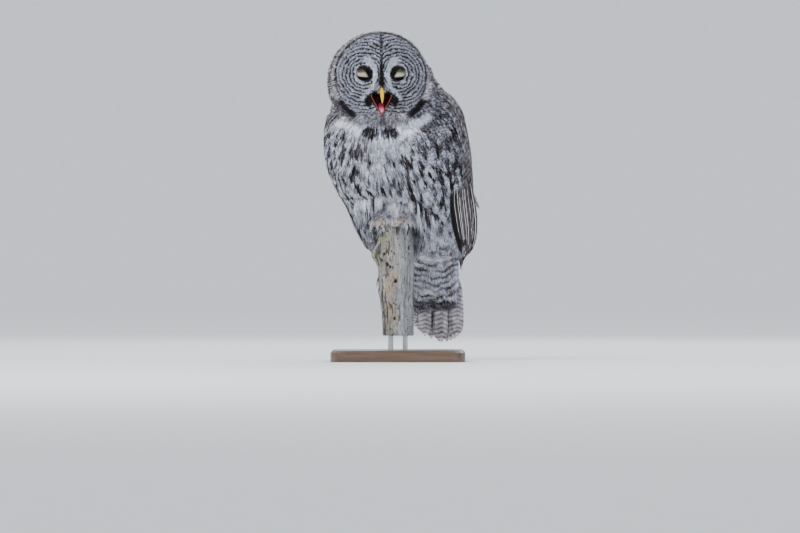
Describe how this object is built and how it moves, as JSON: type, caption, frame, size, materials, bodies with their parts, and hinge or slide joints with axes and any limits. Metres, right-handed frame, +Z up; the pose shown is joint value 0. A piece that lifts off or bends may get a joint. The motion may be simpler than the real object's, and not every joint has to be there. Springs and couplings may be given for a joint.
{
  "type": "great grey owl figure on a perch",
  "caption": "Life-size perched owl with round facial disc, closed eyes and open bill, gripping an upright dead stem on a flat stand.",
  "frame": {"origin": "middle of the base's underside, straight below the stem", "axes": "+Z up along the stem and the perched bird, -Y the side that the face looks to, +X towards the bird's left wing"},
  "size_m": [0.3024, 0.3107, 0.639],
  "materials": {
    "feathers": "soft matt plumage, grey and white with dark brown bars and streaks",
    "eye": "wet gloss",
    "eyelid": "matt skin with fine down",
    "bill": "satin horn",
    "mouth": "moist skin",
    "claw": "polished horn",
    "stem_wood": "weathered, bare and grey",
    "base_wood": "oiled hardwood",
    "rod_steel": "brushed"
  },
  "bodies": {
    "root": {"bill_lower": "bill", "bill_upper": "bill", "claw_left_1": "claw", "claw_left_2": "claw", "claw_left_3": "claw", "claw_left_4": "claw", "claw_right_1": "claw", "claw_right_2": "claw", "claw_right_3": "claw", "claw_right_4": "claw", "eye_left": "eye", "eye_right": "eye", "eyelid_left_lower": "eyelid", "eyelid_left_upper": "eyelid", "eyelid_right_lower": "eyelid", "eyelid_right_upper": "eyelid", "foot_left": "feathers", "foot_right": "feathers", "head": "feathers", "leg_left": "feathers", "leg_right": "feathers", "neck": "feathers", "perch_stem": "stem_wood", "stand_base": "base_wood", "stand_rod_left": "rod_steel", "stand_rod_right": "rod_steel", "tail": "feathers", "tongue": "mouth", "torso": "feathers", "wing_left": "feathers", "wing_right": "feathers"}
  },
  "joints": []
}
